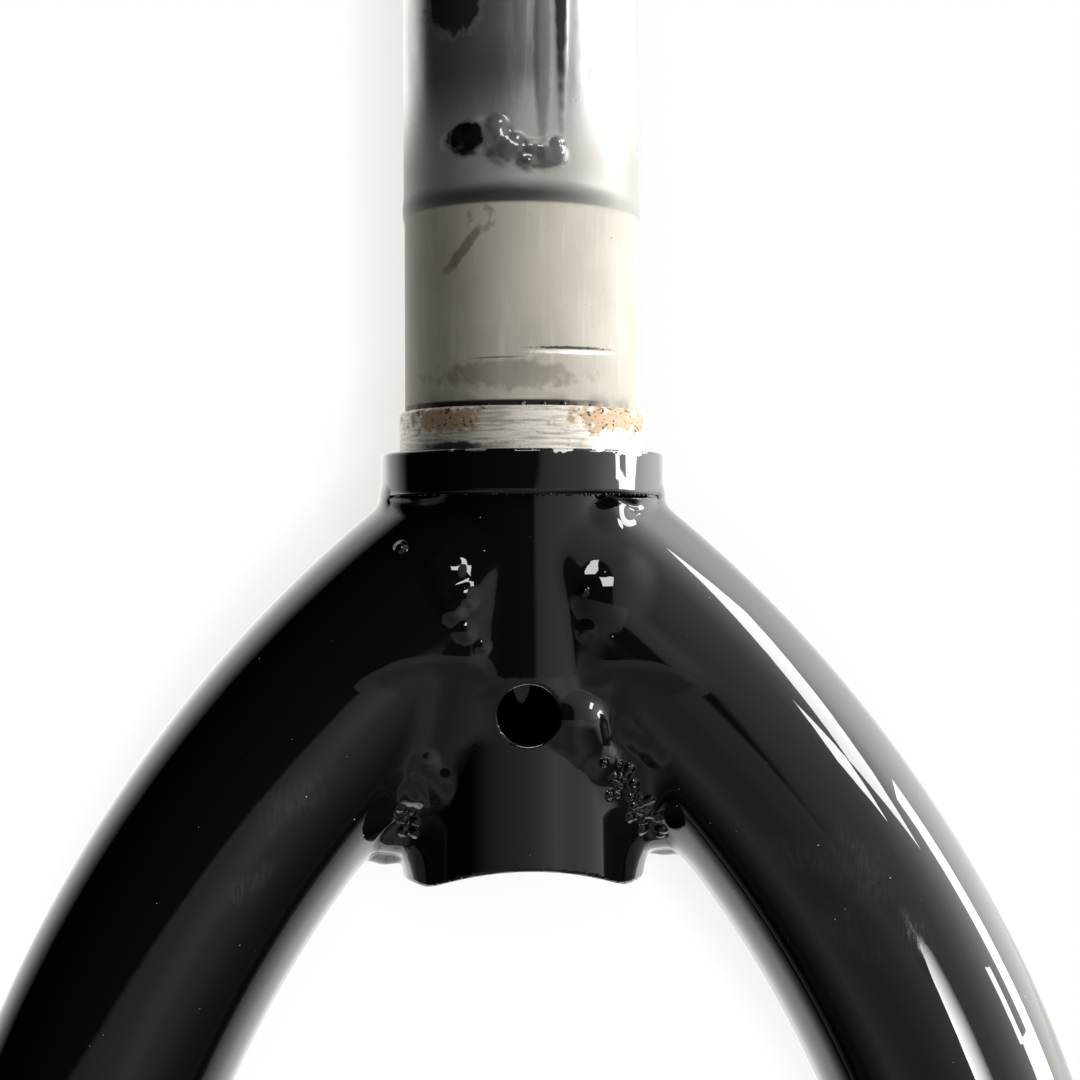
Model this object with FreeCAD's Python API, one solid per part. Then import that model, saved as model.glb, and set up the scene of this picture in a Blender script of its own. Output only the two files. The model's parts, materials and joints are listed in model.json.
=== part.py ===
import FreeCAD, Part
import math
import os
from FreeCAD import Vector

# 20 inch BMX fork, welded from steel tube. Millimetres and degrees.
# Origin on the steerer axis at the crown race shoulder, Z up the steerer, front towards -Y.

# Steerer, the inch-and-an-eighth size, slightly thicker where ring and legs sit
steerer_diameter = 28.6
steerer_base_step = 0.2
steerer_wall = 1.6
steerer_above_shoulder = 165.0
steerer_below_shoulder = 51.4
steerer_top_chamfer = 0.4
tyre_cope_radius = 25.0
tyre_cope_rise = 2.8
front_hole_diameter = 7.0
front_hole_drop = 30.5

# Crown race ring: a press seat above a wider collar
race_ring_wall = 0.5
race_seat_height = 5.05
race_seat_chamfer = 0.3
race_shoulder_width = 2.3
race_collar_height = 5.15
collar_top_chamfer = 0.3
collar_foot_chamfer = 0.9

# Legs: tube bent over one former, then drawn to a taper
leg_step_in = 0.2
leg_wall = 1.6
leg_bend_radius = 143.6
leg_start_angle = 54.8
leg_crossing_drop = 11.0
leg_lean = 4.0
leg_tip_diameter = 20.0

# Wheel fitting
axle_to_shoulder = 315.0
wheel_offset = 30.0
hub_width = 100.0
axle_slot_width = 10.0
dropout_thickness = 6.0
dropout_neck_diameter = 15.0
dropout_boss_diameter = 30.0
dropout_edge_chamfer = 0.6
leg_end_above_axle = 17.0

# Weld beads, round in section and half sunk in the corner that they fill
crown_weld_crotch_radius = 3.8
crown_weld_end_radius = 1.5
crown_weld_bare_share = 0.23
collar_weld_radius = 2.0
collar_weld_end_radius = 0.9
collar_weld_reach = 9.0
tip_weld_radius = 1.8
tip_weld_sweep = 112.0
weld_stations = 12

# Radii and heights that follow from those
steerer_radius = steerer_diameter / 2
base_radius = steerer_radius + steerer_base_step
bore_radius = steerer_radius - steerer_wall
seat_radius = base_radius + race_ring_wall
collar_radius = seat_radius + race_shoulder_width
leg_radius = base_radius - leg_step_in
leg_tip_radius = leg_tip_diameter / 2
tip_above_axle = leg_end_above_axle + leg_tip_radius
cope_top = tyre_cope_rise - steerer_below_shoulder

# Leg centreline in its upright plane: one arc from the steerer axis, then its tangent to the tip
start = math.radians(leg_start_angle)
crossing = Vector(0, 0, -leg_crossing_drop)
bend_centre = crossing - Vector(leg_bend_radius * math.cos(start), 0, leg_bend_radius * math.sin(start))
tip_drop = (axle_to_shoulder - tip_above_axle - leg_crossing_drop) / math.cos(math.radians(leg_lean))
upright_tip = crossing + Vector((hub_width + dropout_thickness) / 2, 0, -tip_drop)
centre_to_tip = upright_tip - bend_centre
straight_length = math.sqrt(centre_to_tip.Length ** 2 - leg_bend_radius ** 2)
toe_in = math.atan2(-centre_to_tip.z, centre_to_tip.x) - math.atan2(straight_length, leg_bend_radius)
bend_end = bend_centre + Vector(math.cos(toe_in), 0, -math.sin(toe_in)) * leg_bend_radius
leg_down = Vector(-math.sin(toe_in), 0, -math.cos(toe_in))


# A shape of the upright leg plane, leaned forward about the crossing point
def leaned(shape):
    shape.rotate(crossing, Vector(1, 0, 0), -leg_lean)
    return shape


# Solid turned about the steerer axis from (radius, height) corners, its seam at the back
def turned(corners):
    outline = Part.makePolygon([Vector(0, radius, z) for radius, z in corners + corners[:1]])
    return Part.Face(outline).revolve(Vector(0, 0, 0), Vector(0, 0, 1), 360)


# Solid rod along the leg's centreline: bend, taper and domed tip
def leg_rod(bend_radius, tip_radius):
    tangent = Vector(math.sin(start), 0, -math.cos(start))
    disc = Part.Face(Part.Wire(Part.makeCircle(bend_radius, crossing, tangent)))
    bend = disc.revolve(bend_centre, Vector(0, 1, 0), leg_start_angle + math.degrees(toe_in))
    taper = Part.makeCone(bend_radius, tip_radius, straight_length, bend_end, leg_down)
    dome = Part.makeSphere(tip_radius, upright_tip, leg_down, 0, 90, 360)
    return leaned(bend.fuse([taper, dome]).Solids[0])


# Closed edge round the leg's bend, where it runs into an upright rod
def mitre_edge(rod, leg):
    joined = rod.fuse(leg).removeSplitter().Solids[0]
    for edge in joined.Edges:
        faces = joined.ancestorsOfType(edge, Part.Face)
        if sorted(type(face.Surface).__name__ for face in faces) == ["Cylinder", "Toroid"]:
            return edge


# Bead along part of a closed edge, between two lengths from its start, thickest half way
def weld_bead(edge, begin, end, middle_radius, end_radius):
    lengths = [begin + (end - begin) * i / weld_stations for i in range(weld_stations + 1)]
    curve = Part.BSplineCurve()
    curve.interpolate([edge.valueAt(edge.getParameterByLength(length % edge.Length)) for length in lengths])
    spine = curve.toShape()
    rings = []
    for share, radius in [(0, end_radius), (0.5, middle_radius), (1, end_radius)]:
        at = spine.getParameterByLength(share * spine.Length)
        rings.append(Part.Wire(Part.makeCircle(radius, spine.valueAt(at), spine.tangentAt(at))))
    return Part.Wire(spine).makePipeShell(rings, True, False)


# Steerer: tube with a coped lower end and one hole through the front wall
steerer_rod = turned([(0, -steerer_below_shoulder), (base_radius, -steerer_below_shoulder),
                      (base_radius, race_seat_height), (steerer_radius, race_seat_height),
                      (steerer_radius, steerer_above_shoulder - steerer_top_chamfer),
                      (steerer_radius - steerer_top_chamfer, steerer_above_shoulder),
                      (0, steerer_above_shoulder)])
bore = Part.makeCylinder(bore_radius, steerer_above_shoulder + steerer_below_shoulder,
                         Vector(0, 0, -steerer_below_shoulder))
cope = Part.makeCylinder(tyre_cope_radius, 2 * base_radius,
                         Vector(0, -base_radius, cope_top - tyre_cope_radius), Vector(0, 1, 0))
front_hole = Part.makeCylinder(front_hole_diameter / 2, base_radius,
                               Vector(0, 0, -front_hole_drop), Vector(0, -1, 0))
steerer_tube = steerer_rod.cut([bore, cope, front_hole]).Solids[0]

# Crown race ring, slipped over the steerer's base
crown_race_ring = turned([(base_radius, -race_collar_height),
                          (collar_radius - collar_foot_chamfer, -race_collar_height),
                          (collar_radius, collar_foot_chamfer - race_collar_height),
                          (collar_radius, -collar_top_chamfer),
                          (collar_radius - collar_top_chamfer, 0),
                          (seat_radius, 0),
                          (seat_radius, race_seat_height - race_seat_chamfer),
                          (seat_radius - race_seat_chamfer, race_seat_height),
                          (base_radius, race_seat_height)])

# Dropout plate: neck in the leg's tip, boss round the axle, joined by tangent flanks
tip = leaned(Part.Vertex(upright_tip)).Point
axle = Vector(hub_width / 2, -wheel_offset, -axle_to_shoulder)
neck = Vector(axle.x, tip.y, tip.z)
neck_radius = dropout_neck_diameter / 2
boss_radius = dropout_boss_diameter / 2
plate_angle = math.atan2(axle.y - neck.y, axle.z - neck.z)
flank_angle = math.acos((neck_radius - boss_radius) / (axle - neck).Length)
front_angle = plate_angle - flank_angle
rear_angle = plate_angle + flank_angle


# Point on a circle in the plate's inner face, at an angle from straight up towards the rear
def on_circle(centre, radius, angle):
    return centre + Vector(0, radius * math.sin(angle), radius * math.cos(angle))


neck_front = on_circle(neck, neck_radius, front_angle)
neck_rear = on_circle(neck, neck_radius, rear_angle)
boss_front = on_circle(axle, boss_radius, front_angle)
boss_rear = on_circle(axle, boss_radius, rear_angle)
plate_outline = Part.Wire([
    Part.makeLine(neck_front, boss_front),
    Part.Arc(boss_front, on_circle(axle, boss_radius, plate_angle), boss_rear).toShape(),
    Part.makeLine(boss_rear, neck_rear),
    Part.Arc(neck_rear, on_circle(neck, -neck_radius, plate_angle), neck_front).toShape()])
plate = Part.Face(plate_outline).extrude(Vector(dropout_thickness, 0, 0))

# Axle slot, open at the bottom, and the broken edges of both faces
slot_end = Part.makeCylinder(axle_slot_width / 2, dropout_thickness, axle, Vector(1, 0, 0))
slot_mouth = Part.makeBox(dropout_thickness, axle_slot_width, dropout_boss_diameter,
                          axle - Vector(0, axle_slot_width / 2, dropout_boss_diameter))
plate = plate.cut(slot_end.fuse(slot_mouth)).removeSplitter().Solids[0]
rim = [edge for edge in plate.Edges if edge.BoundBox.XLength < dropout_thickness / 2]
right_dropout = plate.makeChamfer(dropout_edge_chamfer, rim).Solids[0]

# Leg: hollow, mitred round the steerer, trimmed under the collar and slotted for the plate
leg_outer = leg_rod(leg_radius, leg_tip_radius)
leg_inner = leg_rod(leg_radius - leg_wall, leg_tip_radius - leg_wall)
right_leg = leg_outer.cut([leg_inner, steerer_rod, crown_race_ring, right_dropout]).Solids[0]

# Crown weld: from the front of the mitre, down through the crotch and up to the back
mitre = mitre_edge(steerer_rod, leg_outer)
bare = crown_weld_bare_share * mitre.Length
crown_bead = weld_bead(mitre, bare, mitre.Length - bare, crown_weld_crotch_radius, crown_weld_end_radius)
right_crown_weld = crown_bead.cut([steerer_rod, leg_outer]).Solids[0]

# Collar weld: over the leg's top, in the corner under the collar's side
collar_rod = turned([(0, -steerer_below_shoulder), (collar_radius, -steerer_below_shoulder),
                     (collar_radius, 0), (0, 0)])
lap = mitre_edge(collar_rod, leg_outer)
collar_bead = weld_bead(lap, -collar_weld_reach, collar_weld_reach,
                        collar_weld_radius, collar_weld_end_radius)
right_collar_weld = collar_bead.cut([steerer_rod, leg_outer, crown_race_ring]).Solids[0]


# Tip weld: a ring sector in the corner between the domed tip and one face of the plate
def tip_weld(face_x):
    centre = Vector(face_x, tip.y, tip.z)
    corner_radius = math.sqrt(leg_tip_radius ** 2 - (face_x - tip.x) ** 2)
    first = plate_angle - math.radians(tip_weld_sweep / 2)
    along = Vector(0, math.cos(first), -math.sin(first))
    section = Part.Wire(Part.makeCircle(tip_weld_radius, on_circle(centre, corner_radius, first), along))
    ring = Part.Face(section).revolve(centre, Vector(-1, 0, 0), tip_weld_sweep)
    return ring.cut([leg_outer, right_dropout]).Solids[0]


right_pieces = {
    "leg": right_leg,
    "crown_weld": right_crown_weld,
    "collar_weld": right_collar_weld,
    "dropout": right_dropout,
    "inner_tip_weld": tip_weld(axle.x),
    "outer_tip_weld": tip_weld(axle.x + dropout_thickness),
}

os.makedirs("parts", exist_ok=True)
steerer_tube.exportStep("parts/steerer_tube.step")
crown_race_ring.exportStep("parts/crown_race_ring.step")
for piece, shape in right_pieces.items():
    shape.exportStep("parts/right_" + piece + ".step")
    shape.mirror(Vector(0, 0, 0), Vector(1, 0, 0)).exportStep("parts/left_" + piece + ".step")
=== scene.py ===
import json
import math
import bmesh
import bpy
import numpy as np
from mathutils import Matrix, Vector


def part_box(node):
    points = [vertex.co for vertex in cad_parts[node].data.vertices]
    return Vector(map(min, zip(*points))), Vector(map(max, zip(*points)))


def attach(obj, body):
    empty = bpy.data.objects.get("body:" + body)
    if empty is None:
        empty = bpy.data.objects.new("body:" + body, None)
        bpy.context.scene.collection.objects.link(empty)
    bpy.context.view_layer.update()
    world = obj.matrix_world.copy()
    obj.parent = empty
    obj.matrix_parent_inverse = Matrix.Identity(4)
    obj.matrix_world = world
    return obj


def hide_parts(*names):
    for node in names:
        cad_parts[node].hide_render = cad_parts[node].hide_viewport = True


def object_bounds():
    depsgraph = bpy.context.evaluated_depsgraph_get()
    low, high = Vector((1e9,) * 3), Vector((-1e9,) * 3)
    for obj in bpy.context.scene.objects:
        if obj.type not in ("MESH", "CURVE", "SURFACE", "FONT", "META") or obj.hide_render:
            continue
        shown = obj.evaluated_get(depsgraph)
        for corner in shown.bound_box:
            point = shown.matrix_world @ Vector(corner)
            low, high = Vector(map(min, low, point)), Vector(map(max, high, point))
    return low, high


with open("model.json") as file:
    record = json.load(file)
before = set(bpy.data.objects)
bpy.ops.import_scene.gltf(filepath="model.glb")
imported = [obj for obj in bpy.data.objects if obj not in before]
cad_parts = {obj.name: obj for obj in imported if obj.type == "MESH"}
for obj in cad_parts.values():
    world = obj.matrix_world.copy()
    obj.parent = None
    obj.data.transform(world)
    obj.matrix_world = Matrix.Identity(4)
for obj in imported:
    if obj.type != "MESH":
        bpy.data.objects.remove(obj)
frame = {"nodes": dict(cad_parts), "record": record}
cadBox = [list(corner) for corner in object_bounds()]
scene = bpy.context.scene
scene.view_settings.view_transform = "Standard"
mm = 0.001  # sizes below are millimetres, meshes are metres
print("frame loaded with", len(frame["nodes"]), "nodes")


# what the frame says of the tubes, and the bend that both legs share
mounts = {mount["name"]: mount for mount in frame["record"]["mounts"]}
ringLow, ringHigh = [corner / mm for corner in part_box("crown_race_ring")]
tubeLow, tubeHigh = [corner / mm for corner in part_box("steerer_tube")]
fork = {
    "steererRadius": mounts["steerer"]["dims"]["r_mm"],
    "baseRadius": tubeHigh.x,
    "boreRadius": mounts["steerer_bore"]["dims"]["r_mm"],
    "steererTop": tubeHigh.z,
    "steererFoot": tubeLow.z,
    "seatRadius": mounts["crown_race_seat"]["dims"]["r_mm"],
    "seatTop": ringHigh.z,
    "collarRadius": ringHigh.x,
    "collarFoot": ringLow.z,
    "holeRadius": mounts["front_hole"]["dims"]["r_mm"],
    "holeHeight": mounts["front_hole"]["pos_m"][2] / mm,
    "copeRadius": 25.0,
    "copeRise": 2.8,
}
legBend = {"radius": 143.6, "startAngle": 54.8, "crossing": -11.0, "lean": 4.0, "tube": 14.3}
view = {"place": (-9.4, -220.8, -10.45), "look": (0.0523, 0.9986, 0.0), "roll": -0.2,
        "lens": 60.0, "sensor": 36.0, "nearest": 0.01}
bendStart = math.radians(legBend["startAngle"])
bendX = -legBend["radius"] * math.cos(bendStart)
bendZ = legBend["crossing"] - legBend["radius"] * math.sin(bendStart)
copeZ = fork["steererFoot"] + fork["copeRise"] - fork["copeRadius"]


# one socket of a node tree: arithmetic on wires adds the Math nodes
class Wire:
    def __init__(self, socket):
        self.socket = socket

    @staticmethod
    def node(tree, kind, settings=None, sockets=None, output=0):
        made = tree.nodes.new("ShaderNode" + kind)
        for name, value in (settings or {}).items():
            if name == "stops":
                ramp = made.color_ramp.elements
                ramp.remove(ramp[-1])
                ramp[0].position = value[0][0]
                for place, level in value[1:]:
                    ramp.new(place)
                for stop, (place, level) in zip(ramp, value):
                    stop.color = (level, level, level, 1.0)
            else:
                setattr(made, name, value)
        for name, value in (sockets or {}).items():
            if isinstance(value, Wire):
                tree.links.new(value.socket, made.inputs[name])
            else:
                made.inputs[name].default_value = value
        return Wire(made.outputs[output])

    def math(self, operation, other=0.0, third=0.0):
        values = {0: self, 1: other, 2: third}
        return Wire.node(self.socket.id_data, "Math", {"operation": operation}, values)

    def step(self, low, high):  # smooth 0 to 1 from low to high, or 1 to 0 where low is the larger
        rising = {0: self, 1: min(low, high), 2: max(low, high)}
        mask = Wire.node(self.socket.id_data, "MapRange", {"interpolation_type": "SMOOTHSTEP"}, rising)
        return mask if low < high else 1.0 - mask

    def __add__(self, other):
        return self.math("ADD", other)

    def __sub__(self, other):
        return self.math("SUBTRACT", other)

    def __rsub__(self, other):
        return self.math("MULTIPLY_ADD", -1.0, other)

    def __mul__(self, other):
        return self.math("MULTIPLY", other)

    def __truediv__(self, other):
        return self.math("DIVIDE", other)

    __radd__ = __add__
    __rmul__ = __mul__


# a new material: its shader, and object coordinates in millimetres
class Finish:
    def __init__(self, name):
        self.material = bpy.data.materials.new(name)
        self.material.use_nodes = True
        self.tree = self.material.node_tree
        self.shader = self.tree.nodes["Principled BSDF"]
        self.place = self.add("TexCoord", output=3)
        self.x, self.y, self.z = [self.add("SeparateXYZ", None, {0: self.place}, axis) / mm
                                  for axis in range(3)]

    def add(self, kind, settings=None, sockets=None, output=0):
        return Wire.node(self.tree, kind, settings, sockets, output)

    def mix(self, mask, under, over):
        return self.add("Mix", {"data_type": "RGBA"}, {0: mask, 6: under, 7: over}, 2)

    def spread(self, size, stretch=(1, 1, 1)):  # coordinates in which one unit is size mm
        scale = [1 / (size * mm * share) for share in stretch]
        return self.add("Mapping", None, {0: self.place, 3: scale})

    def noise(self, size, detail=3.0, stretch=(1, 1, 1)):
        where = self.spread(size, stretch)
        return self.add("TexNoise", None, {"Vector": where, "Scale": 1.0, "Detail": detail})

    def specks(self, cell, radius, share):  # round specks, one in each of a share of the cells
        where = {"Vector": self.spread(cell), "Scale": 1.0}
        dice = self.add("SeparateColor", None, {0: self.add("TexVoronoi", None, where, 1)})
        gap = self.add("TexVoronoi", None, where)
        return gap.step(1.3 * radius / cell, 0.6 * radius / cell) * dice.math("LESS_THAN", share)

    def front(self):  # 1 on the side that faces the camera
        return self.y.step(0.0, -4.0)

    def oval(self, centre, half, tilt=0.0, soft=0.3, ragged=0.0):  # patch on the front, seen along +Y
        turn = math.radians(tilt)
        across = self.x - centre[0]
        upward = self.z - centre[1]
        along = (across * math.cos(turn) + upward * math.sin(turn)) / half[0]
        aside = (upward * math.cos(turn) - across * math.sin(turn)) / half[1]
        reach = (along * along + aside * aside).math("SQRT") + ragged
        return reach.step(1 + soft, 1 - soft) * self.front()

    def ring(self, centre, radius, width):
        across = self.x - centre[0]
        upward = self.z - centre[1]
        reach = (across * across + upward * upward).math("SQRT") - radius
        return reach.math("ABSOLUTE").step(1.4 * width, 0.4 * width) * self.front()

    def most(self, masks):  # the strongest of several masks
        whole = masks[0]
        for mask in masks[1:]:
            whole = whole.math("MAXIMUM", mask)
        return whole

    def bump(self, height, depth):
        return self.add("Bump", None, {"Height": height, "Distance": depth * mm, "Strength": 1.0})

    def give(self, sockets):  # plain values or wires for the shader
        for name, value in sockets.items():
            if isinstance(value, Wire):
                self.tree.links.new(value.socket, self.shader.inputs[name])
            else:
                self.shader.inputs[name].default_value = value

    def fade(self, mask):  # see-through where the mask is 1
        clear = self.add("BsdfTransparent")
        mixed = self.add("MixShader", None, {0: mask, 1: Wire(self.shader.outputs[0]), 2: clear})
        self.tree.links.new(mixed.socket, self.tree.nodes["Material Output"].inputs["Surface"])


# gloss black paint, with dust, chipped edges, finger marks and wiped smears
paintLook = {
    "colour": (0.0025, 0.0025, 0.0027, 1),
    "gloss": 0.018,
    "peel": 0.008,
    "dust": (0.55, 0.54, 0.50, 1),
    "specks": [(2.9, 0.085, 0.42), (1.5, 0.042, 0.25)],  # cell, radius, share of cells
    "haze": (0.34, 0.35, 0.40, 1),
    "chip": (0.66, 0.64, 0.60, 1),
    "chipRim": (-0.36, -0.1),
    "chipFoot": (-1.0, -0.9),
    "chips": [(3.7, -0.2, 1.1, 0.35), (12.0, -0.25, 1.9, 0.4), (-6.0, -0.1, 0.8, 0.2),
              (8.2, -0.1, 0.7, 0.2)],  # x, z, half width, half height; a smear also has a tilt
    "smears": [(37.6, -48.0, 4.6, 2.3, -62), (31.4, -47.0, 3.6, 1.5, -18), (36.4, -56.0, 3.8, 1.6, -50),
               (44.2, -55.6, 2.6, 1.3, -62), (-32.2, -49.8, 3.2, 1.2, 40), (-27.0, -40.0, 4.5, 1.8, 35)],
}


def glossPaint():
    paint = Finish("gloss_black_paint")
    dust = paint.most([paint.specks(*row) for row in paintLook["specks"]])
    hatch = paint.noise(0.3, 2.0, (1, 1, 6)).step(0.36, 0.66)
    ragged = paint.noise(2.2, 3.0) * 1.6 - 0.8
    smear = paint.noise(30.0, 2.0).step(0.58, 0.8) * hatch * 0.3
    for x, z, long, wide, tilt in paintLook["smears"]:
        patch = paint.oval((x, z), (long, wide), tilt, 0.6, ragged)
        smear = smear.math("MAXIMUM", patch * (hatch * 0.75 + 0.25))
    chips = paint.z.step(*paintLook["chipRim"]) * paint.noise(1.3, 3.0).step(0.62, 0.66)
    torn = paint.noise(0.7, 3.0) * 2.2 - 1.1
    for x, z, long, tall in paintLook["chips"]:
        patch = paint.oval((x, z), (long, tall), 0, 0.12, torn)
        chips = chips.math("MAXIMUM", patch * paint.z.step(*paintLook["chipFoot"]))
    tone = paint.mix(smear * 0.035, paintLook["colour"], paintLook["haze"])
    tone = paint.mix(dust, tone, paintLook["dust"])
    tone = paint.mix(chips, tone, paintLook["chip"])
    rough = smear * 0.13 + dust * 0.6 + chips * 0.35 + paintLook["gloss"]
    peel = paint.bump(paint.noise(3.4, 1.0), paintLook["peel"])
    paint.give({"Base Color": tone, "Roughness": rough, "Metallic": chips, "Normal": peel, "IOR": 1.5})
    return paint.material


# bare steerer: worn grey steel, overspray above the paint edge, drips, rust stain, scratch and grime,
# with painted shade along the fat paint edge and a painted dark reflection at the top left
steelLook = {
    "steel": (0.49, 0.46, 0.395, 1),
    "dull": (0.40, 0.375, 0.32, 1),
    "stained": (0.235, 0.215, 0.175, 1),
    "rust": (0.17, 0.13, 0.095, 1),
    "grime": (0.012, 0.011, 0.010, 1),
    "bright": (0.80, 0.79, 0.76, 1),
    "spray": (0.27, 0.27, 0.275, 1),
    "sprayDust": (0.46, 0.46, 0.46, 1),
    "thinSpray": (0.33, 0.32, 0.30, 1),
    "thick": (33.0, 45.0),
    "black": (0.006, 0.006, 0.007, 1),
    "paintEdge": 28.4,
    "edgeSoft": (-0.15, 0.25),
    "grain": 0.006,
    "pits": [(1.1, 0.07, 0.3), (3.4, 0.14, 0.25)],  # cell, radius, share of cells
    "stain": {"centre": (-2.3, 8.6), "half": (7.8, 1.6)},
    "hook": {"centre": (-5.2, 26.7), "radius": 1.3, "width": 0.45},
    "tail": {"centre": (-7.3, 23.2), "half": (3.0, 0.62), "tilt": 52, "soft": 0.35},
    "line": {"centre": (-3.5, 10.6), "half": (2.7, 0.10), "tilt": 1, "soft": 0.5},
    "scratch": {"centre": (4.9, 11.75), "half": (4.3, 0.16), "tilt": 1, "soft": 0.4},
    "shine": {"centre": (4.9, 11.30), "half": (4.3, 0.24), "tilt": 1, "soft": 0.4},
    "foot": {"centre": (-3.2, 5.4), "half": (10.5, 2.0)},
    # painted shade: the soft dark band along the fat paint edge, where its lower slope faces down
    "band": {"centre": (-2.8, 29.3), "half": (10.5, 1.3), "soft": 0.75},
    "drips": [(4.05, 62.0, 0.80, 22.4, 0.95), (1.9, 47.0, 0.95, 11.5, 0.5),
              (-0.6, 60.0, 0.8, 17.0, 0.3)],  # x, z, half width, half height, depth, as for the spots
    # the first spot, at the top left, is a painted dark reflection; the others are black paint
    "blackSpotsAndDarkReflection": [(-8.2, 51.6, 3.0, 3.6, 0.95), (-6.9, 35.9, 2.0, 2.0, 1.0), (-3.6, 36.1, 2.2, 2.5, 0.6),
                   (-1.7, 34.7, 2.0, 1.7, 0.7), (1.4, 33.6, 3.0, 1.3, 0.75), (3.6, 34.6, 1.0, 1.6, 0.8)],
}


def wornSteel():
    steel = Finish("worn_steel")
    cloud = steel.noise(8.0, 4.0)
    grain = steel.noise(0.45, 3.0, (1, 1, 5))
    ragged = steel.noise(1.4, 4.0) * 1.4 - 0.7
    over = steel.z.step(*[steelLook["paintEdge"] + soft for soft in steelLook["edgeSoft"]])
    bare = 1.0 - over
    tone = steel.mix(cloud.step(0.35, 0.7) * 0.7, steelLook["steel"], steelLook["dull"])
    brushed = steel.noise(0.9, 4.0, (1, 1, 11)).step(0.50, 0.74) * 0.17
    sparks = steel.specks(1.7, 0.07, 0.4) * 0.6
    tone = steel.mix(steel.most([brushed, sparks]), tone, steelLook["bright"])
    stain = steel.oval(**steelLook["stain"], ragged=ragged * 1.3) * (cloud * 0.8 + 0.3)
    low = steel.z.step(7.4, 5.2) * steel.noise(2.6, 3.0).step(0.3, 0.7) * 0.8
    tone = steel.mix(steel.most([stain, low]) * bare, tone, steelLook["stained"])
    hook = steel.ring(**steelLook["hook"]) * steel.noise(1.2, 2.0).step(0.40, 0.58)
    tail = steel.oval(**steelLook["tail"], ragged=ragged)
    tone = steel.mix(steel.most([hook * 0.7, tail]) * 0.75 * bare, tone, steelLook["rust"])
    line = steel.oval(**steelLook["line"]) * 0.6
    torn = steel.noise(0.35, 2.0) * 1.6 - 0.8
    scratch = steel.oval(**steelLook["scratch"], ragged=torn)
    shine = steel.oval(**steelLook["shine"], ragged=torn * 0.6)
    grime = steel.z.step(5.9, 5.6) * steel.oval(**steelLook["foot"], ragged=ragged * 0.6)
    pits = steel.most([steel.specks(*row) for row in steelLook["pits"]]) * 0.5
    dark = steel.most([grime, line, scratch * 0.85, pits]) * bare
    tone = steel.mix(shine * bare, tone, steelLook["bright"])
    tone = steel.mix(dark, tone, steelLook["grime"])
    mist = steel.noise(5.0, 4.0, (1, 1, 2.5)).step(0.35, 0.7)
    spray = steel.mix(mist * 0.7 + grain * 0.25, steelLook["spray"], steelLook["sprayDust"])
    thick = steel.z.step(*steelLook["thick"])
    spray = steel.mix(thick * 0.8 + 0.2 - mist * 0.2, steelLook["thinSpray"], spray)
    tone = steel.mix(over, tone, spray)
    runs = [steel.oval((x, z), (half, tall), 0, 0.25, ragged * 0.25) * depth
            for x, z, half, tall, depth in steelLook["drips"]]
    wet = [steel.oval((x, z), (half, tall), 0, 0.2, ragged * 0.6)
           for x, z, half, tall, depth in steelLook["blackSpotsAndDarkReflection"]]
    spots = [spot * row[-1] for spot, row in zip(wet, steelLook["blackSpotsAndDarkReflection"])]
    # painted shade: dark band along the fat paint edge
    band = steel.oval(**steelLook["band"]) * 0.85
    # black mixes paint runs and spots with the painted shade band and the painted dark reflection
    black = steel.most(runs + spots + [band]) * over
    tone = steel.mix(black, tone, steelLook["black"])
    gloss = over * (thick * 0.75 + 0.25)
    rough = grain * 0.08 + cloud * 0.08 + 0.44 - gloss * 0.34 - black * 0.16 - shine * 0.2
    metal = gloss * 0.8 + shine * bare * 0.7 - black * 0.85
    steel.give({"Base Color": tone, "Roughness": rough, "Metallic": metal, "Coat Weight": steel.most(wet),
                "Normal": steel.bump(grain, steelLook["grain"]), "Specular IOR Level": 0.15})
    return steel.material


# turned race seat: bright pitted rings with copper-coloured rust patches
seatLook = {
    "steel": (0.84, 0.80, 0.72, 1),
    "worn": (0.46, 0.435, 0.385, 1),
    "rust": (0.33, 0.19, 0.06, 1),
    "grime": (0.02, 0.018, 0.016, 1),
    "metal": 0.25,
    "relief": 0.03,
    "rusted": [{"centre": (-9.6, 3.7), "half": (4.0, 1.5)}, {"centre": (10.2, 3.7), "half": (5.0, 1.5)}],
    "smudge": {"centre": (-8.2, 0.4), "half": (3.4, 0.55)},
}


def turnedSteel():
    seat = Finish("turned_steel")
    rings = seat.noise(0.3, 3.0, (14, 14, 1))
    ragged = seat.noise(1.1, 5.0) * 3.0 - 1.5
    fleck = seat.noise(0.35, 3.0, (1.6, 1.6, 1))
    rust = seat.most([seat.oval(**patch, soft=0.35, ragged=ragged) for patch in seatLook["rusted"]])
    smudge = seat.oval(**seatLook["smudge"], soft=0.4, ragged=ragged * 0.5)
    flecks = fleck.step(0.56, 0.66) * (rust * 0.75 + 0.25)
    dark = seat.most([smudge, flecks, seat.specks(0.9, 0.09, 0.35) * 0.8])
    tone = seat.mix(rings.step(0.36, 0.60) * (fleck * 0.5 + 0.6), seatLook["worn"], seatLook["steel"])
    tone = seat.mix(rust * (rings * 0.6 + 0.45), tone, seatLook["rust"])
    tone = seat.mix(dark, tone, seatLook["grime"])
    rough = rings * 0.22 + rust * 0.2 + dark * 0.3 + 0.3
    relief = seat.bump(rings * 0.6 + fleck * 0.5 - dark * 0.6, seatLook["relief"])
    seat.give({"Base Color": tone, "Roughness": rough, "Metallic": seatLook["metal"] - dark * 0.2,
               "Normal": relief})
    return seat.material


blackPaint = glossPaint()
bareSteel = wornSteel()
seatSteel = turnedSteel()
print("finishes mixed")


def newPiece(name, bm, finish):
    mesh = bpy.data.meshes.new(name)
    bm.to_mesh(mesh)
    bm.free()
    mesh.shade_smooth()
    mesh.materials.append(finish)
    piece = bpy.data.objects.new(name, mesh)
    scene.collection.objects.link(piece)
    return piece


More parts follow.
